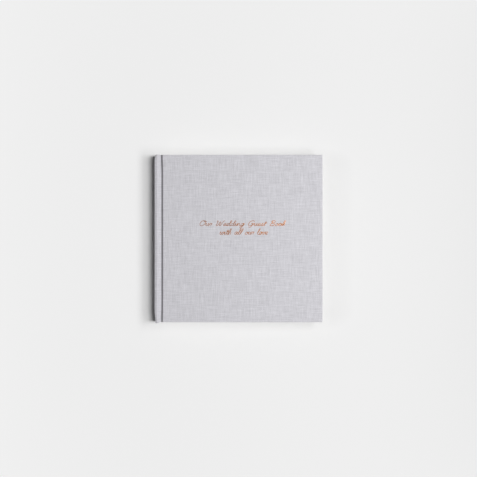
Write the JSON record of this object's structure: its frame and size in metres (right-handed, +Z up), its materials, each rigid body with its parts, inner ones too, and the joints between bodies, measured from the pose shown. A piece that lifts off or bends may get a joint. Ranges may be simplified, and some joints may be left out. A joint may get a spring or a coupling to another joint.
{
  "type": "wedding guest book",
  "caption": "Square case-bound guest book in linen cloth with a French groove and stamped copper lines, that opens flat at its middle.",
  "frame": {"origin": "under the middle of the closed book, on the plane that its back cover lies on", "axes": "+Z up out of the front cover, +Y to the head of the book, +X to the fore-edge, the spine along -X"},
  "size_m": [0.223, 0.222, 0.0264],
  "materials": {
    "linen_cloth": "fine linen book cloth, matt",
    "grey_board": "dense grey binder's board",
    "end_paper": "heavy smooth uncoated paper",
    "page_paper": "uncoated writing paper",
    "cotton_tape": "open cotton weave",
    "linen_thread": "waxed linen thread",
    "silk_band": "striped woven bead",
    "copper_foil": "stamped copper-coloured foil, satin"
  },
  "bodies": {
    "root": {"back_board": "grey_board", "back_cloth": "linen_cloth", "back_pastedown": "end_paper"},
    "spine": {"spine_board": "grey_board", "spine_cloth": "linen_cloth", "front_joint_cloth": "linen_cloth", "back_joint_cloth": "linen_cloth", "spine_lining": "page_paper", "mull": "cotton_tape", "sewing_tape_1": "cotton_tape", "sewing_tape_2": "cotton_tape", "sewing_tape_3": "cotton_tape", "kettle_thread_head": "linen_thread", "kettle_thread_tail": "linen_thread", "headband": "silk_band", "tailband": "silk_band"},
    "front_cover": {"front_board": "grey_board", "front_cloth": "linen_cloth", "front_pastedown": "end_paper", "foil_line_upper": "copper_foil", "foil_line_lower": "copper_foil"},
    "front_flyleaf": {"front_flyleaf": "end_paper"},
    "back_flyleaf": {"back_flyleaf": "end_paper"},
    "section_01": {"section_01": "page_paper"},
    "section_02": {"section_02": "page_paper"},
    "section_03": {"section_03": "page_paper"},
    "section_04": {"section_04": "page_paper"},
    "section_05": {"section_05": "page_paper"},
    "section_06": {"section_06": "page_paper"},
    "section_07": {"section_07": "page_paper"},
    "section_08": {"section_08": "page_paper"},
    "section_09": {"section_09": "page_paper"},
    "section_10": {"section_10": "page_paper"}
  },
  "joints": [
    {"name": "spine_hinge", "type": "hinge", "parent": "root", "child": "spine", "pos_m": [-0.10765, 0, 0.00385], "axis": [0, -1, 0], "range_deg": [0, 90], "deforming": ["back_joint_cloth"]},
    {"name": "front_cover_hinge", "type": "hinge", "parent": "spine", "child": "front_cover", "pos_m": [-0.10765, 0, 0.0224], "axis": [0, -1, 0], "range_deg": [0, 90], "deforming": ["front_joint_cloth"]},
    {"name": "front_flyleaf_turn", "type": "hinge", "parent": "spine", "child": "front_flyleaf", "pos_m": [-0.10765, 0, 0.0224], "axis": [0, -1, 0], "range_deg": [0, 90]},
    {"name": "section_01_turn", "type": "hinge", "parent": "spine", "child": "section_01", "pos_m": [-0.10765, 0, 0.0224], "axis": [0, -1, 0], "range_deg": [0, 90]},
    {"name": "section_02_turn", "type": "hinge", "parent": "spine", "child": "section_02", "pos_m": [-0.10765, 0, 0.0224], "axis": [0, -1, 0], "range_deg": [0, 90]},
    {"name": "section_03_turn", "type": "hinge", "parent": "spine", "child": "section_03", "pos_m": [-0.10765, 0, 0.0224], "axis": [0, -1, 0], "range_deg": [0, 90]},
    {"name": "section_04_turn", "type": "hinge", "parent": "spine", "child": "section_04", "pos_m": [-0.10765, 0, 0.0224], "axis": [0, -1, 0], "range_deg": [0, 90]},
    {"name": "section_05_turn", "type": "hinge", "parent": "spine", "child": "section_05", "pos_m": [-0.10765, 0, 0.0224], "axis": [0, -1, 0], "range_deg": [0, 90]},
    {"name": "section_06_turn", "type": "hinge", "parent": "spine", "child": "section_06", "pos_m": [-0.10765, 0, 0.00385], "axis": [0, -1, 0], "range_deg": [-90, 0]},
    {"name": "section_07_turn", "type": "hinge", "parent": "spine", "child": "section_07", "pos_m": [-0.10765, 0, 0.00385], "axis": [0, -1, 0], "range_deg": [-90, 0]},
    {"name": "section_08_turn", "type": "hinge", "parent": "spine", "child": "section_08", "pos_m": [-0.10765, 0, 0.00385], "axis": [0, -1, 0], "range_deg": [-90, 0]},
    {"name": "section_09_turn", "type": "hinge", "parent": "spine", "child": "section_09", "pos_m": [-0.10765, 0, 0.00385], "axis": [0, -1, 0], "range_deg": [-90, 0]},
    {"name": "section_10_turn", "type": "hinge", "parent": "spine", "child": "section_10", "pos_m": [-0.10765, 0, 0.00385], "axis": [0, -1, 0], "range_deg": [-90, 0]},
    {"name": "back_flyleaf_turn", "type": "hinge", "parent": "spine", "child": "back_flyleaf", "pos_m": [-0.10765, 0, 0.00385], "axis": [0, -1, 0], "range_deg": [-90, 0]}
  ],
  "couplings": [
    {"joint": "front_cover_hinge", "follows": "spine_hinge", "ratio": 1},
    {"joint": "front_flyleaf_turn", "follows": "spine_hinge", "ratio": 0.99867},
    {"joint": "section_01_turn", "follows": "spine_hinge", "ratio": 0.99667},
    {"joint": "section_02_turn", "follows": "spine_hinge", "ratio": 0.99389},
    {"joint": "section_03_turn", "follows": "spine_hinge", "ratio": 0.99056},
    {"joint": "section_04_turn", "follows": "spine_hinge", "ratio": 0.98667},
    {"joint": "section_05_turn", "follows": "spine_hinge", "ratio": 0.98222},
    {"joint": "section_06_turn", "follows": "spine_hinge", "ratio": -0.98222},
    {"joint": "section_07_turn", "follows": "spine_hinge", "ratio": -0.98667},
    {"joint": "section_08_turn", "follows": "spine_hinge", "ratio": -0.99056},
    {"joint": "section_09_turn", "follows": "spine_hinge", "ratio": -0.99389},
    {"joint": "section_10_turn", "follows": "spine_hinge", "ratio": -0.99667},
    {"joint": "back_flyleaf_turn", "follows": "spine_hinge", "ratio": -0.99867}
  ]
}
